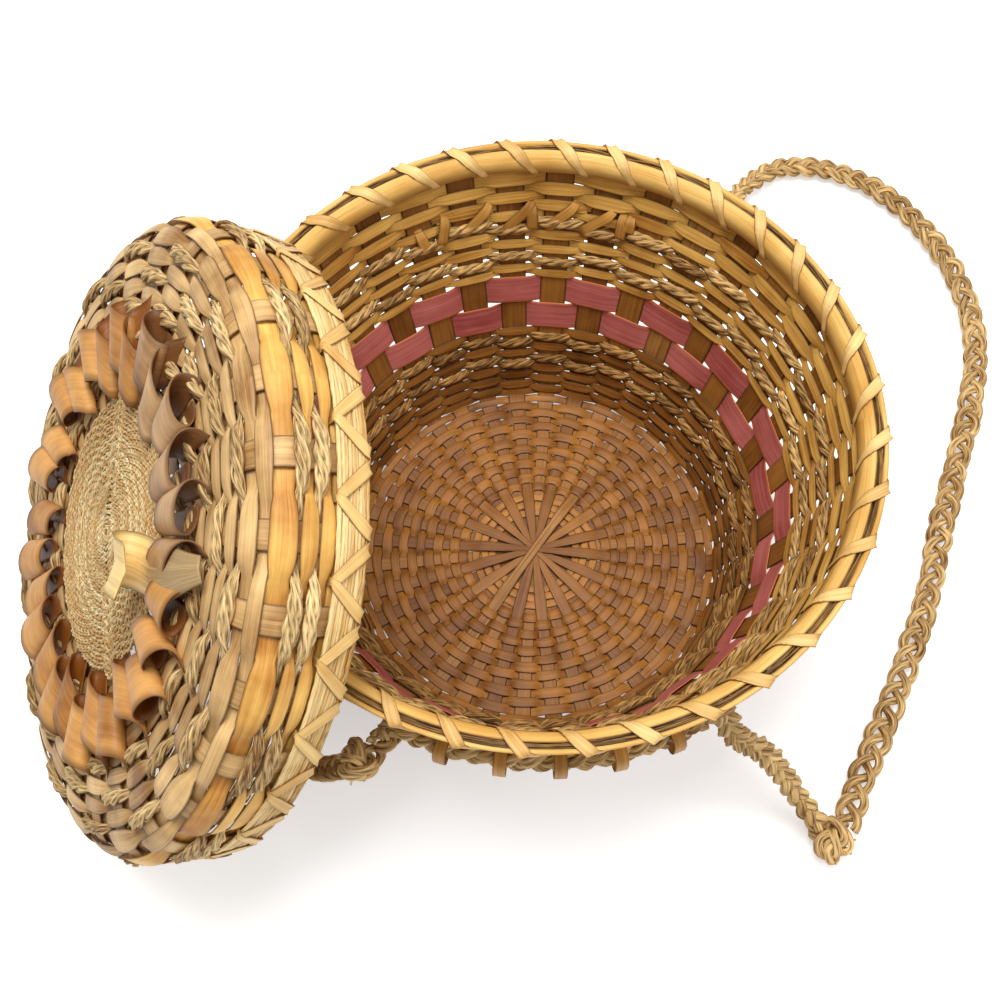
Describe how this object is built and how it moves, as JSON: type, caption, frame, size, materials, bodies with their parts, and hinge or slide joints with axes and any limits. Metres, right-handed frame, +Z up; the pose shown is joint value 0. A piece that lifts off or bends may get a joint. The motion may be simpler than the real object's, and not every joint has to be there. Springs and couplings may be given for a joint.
{
  "type": "lidded splint basket",
  "caption": "Round woven splint basket that flares to a lashed rim, with a braided strap handle and a separate domed lid ringed with curls.",
  "frame": {"origin": "centre of the underside of the basket's base, on the basket's axis", "axes": "+Z up along the basket's axis; -X towards the lid, which leans at that side; the strap lies along the wall at -Y and +Y and loops out at +X"},
  "size_m": [0.4933, 0.4217, 0.2401],
  "materials": {
    "pale_splint": "satin",
    "gold_splint": "satin",
    "brown_splint": "satin",
    "tan_splint": "satin",
    "rose_splint": "matte",
    "sweetgrass": "matte"
  },
  "bodies": {
    "basket": {"stakes_lower_layer": "brown_splint", "stakes_upper_layer": "brown_splint", "base_row_1": "tan_splint", "base_row_2": "tan_splint", "base_row_3": "tan_splint", "lower_row_1": "tan_splint", "lower_row_2": "tan_splint", "lower_row_3": "tan_splint", "dyed_row_lower": "rose_splint", "dyed_row_upper": "rose_splint", "upper_row_1": "tan_splint", "upper_row_2": "tan_splint", "strap_row": "tan_splint", "under_rim_row": "tan_splint", "rim_row": "tan_splint", "rim_inner_hoop": "pale_splint", "rim_outer_hoop": "pale_splint", "rim_filler": "sweetgrass", "rim_lashing": "gold_splint", "strap_front": "sweetgrass", "strap_back": "sweetgrass", "strap_keeper_front": "tan_splint", "strap_keeper_back": "tan_splint", "strap_loop_right": "sweetgrass", "strap_tail_right": "sweetgrass", "strap_loop_left": "sweetgrass", "strap_knot_right": "sweetgrass", "strap_knot_left": "sweetgrass"},
    "lid": {"lid_ribs": "brown_splint", "lid_wall_row_1": "gold_splint", "lid_wall_row_2": "gold_splint", "lid_shoulder_row_1": "sweetgrass", "lid_shoulder_row_2": "sweetgrass", "lid_shoulder_row_3": "sweetgrass", "lid_inner_hoop": "pale_splint", "lid_outer_hoop": "pale_splint", "lid_lashing": "gold_splint", "lid_centre_disc": "sweetgrass", "lid_curl_ring": "tan_splint", "lid_loose_curl": "pale_splint"}
  },
  "joints": [
    {"name": "lid_lift", "type": "slide", "parent": "basket", "child": "lid", "axis": [-0.8153, -0.1659, 0.5548], "range_m": [0, 0.15]}
  ]
}
